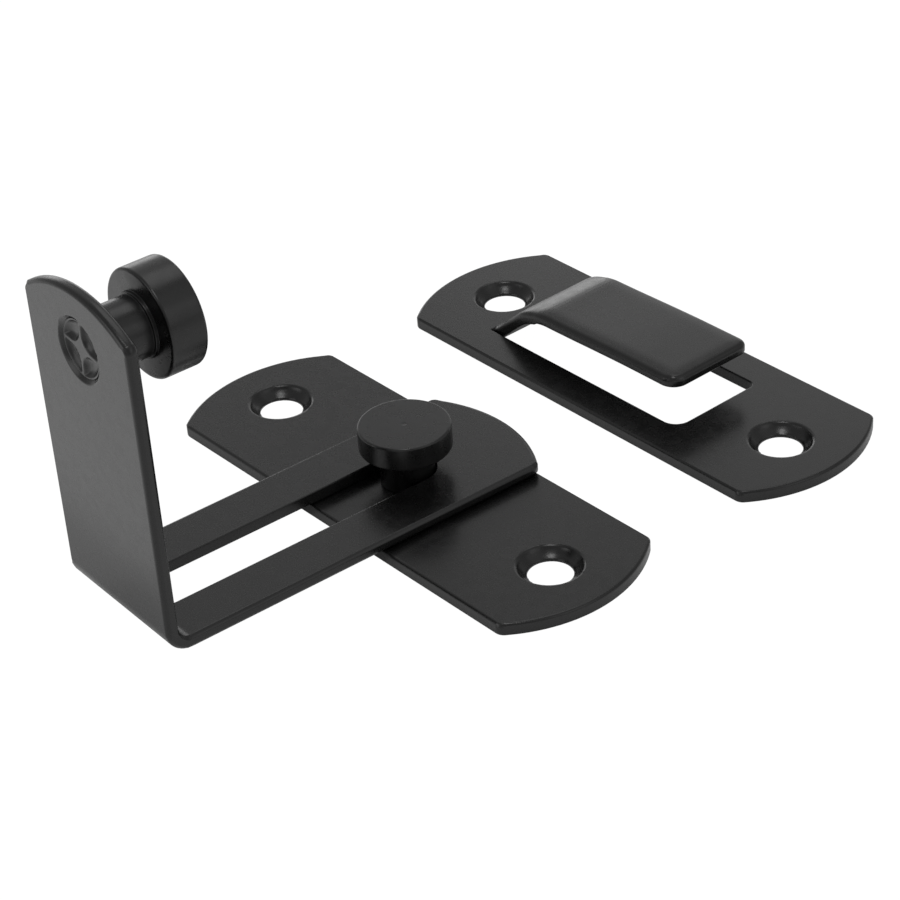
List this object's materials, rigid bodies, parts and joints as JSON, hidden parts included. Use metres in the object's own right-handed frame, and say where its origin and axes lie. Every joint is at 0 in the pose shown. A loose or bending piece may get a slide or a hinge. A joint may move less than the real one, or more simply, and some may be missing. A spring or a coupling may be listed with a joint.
{
  "type": "barn door latch",
  "caption": "Barn door latch in black steel: a slotted, bent arm with a knob slides and swings on a plate's headed stud, and passes under the raised tongue of a keeper plate.",
  "frame": {"origin": "on the base plate's back face, midway between its two screw holes, on the axis of the pivot stud", "axes": "+Z out of the plates' backs towards the stud's head, +X along both plates, +Y from the latch to the keeper"},
  "size_m": [0.0885, 0.1167, 0.0572],
  "materials": {
    "plate_paint": "satin black powder coat on steel strap",
    "arm_paint": "satin black powder coat on bent steel strap",
    "turned_paint": "smooth satin black paint on turned steel"
  },
  "bodies": {
    "base": {"base_plate": "plate_paint", "keeper_plate": "plate_paint"},
    "stud": {"pivot_stud": "turned_paint"},
    "arm": {"slotted_arm": "arm_paint", "knob": "turned_paint"}
  },
  "joints": [
    {"name": "arm_swing", "type": "hinge", "parent": "base", "child": "stud", "pos_m": [0, 0, 0], "axis": [0, 0, 1], "range_deg": [-125, 145]},
    {"name": "arm_slide", "type": "slide", "parent": "stud", "child": "arm", "axis": [0.041, 0.9992, 0], "range_m": [0, 0.043]}
  ]
}
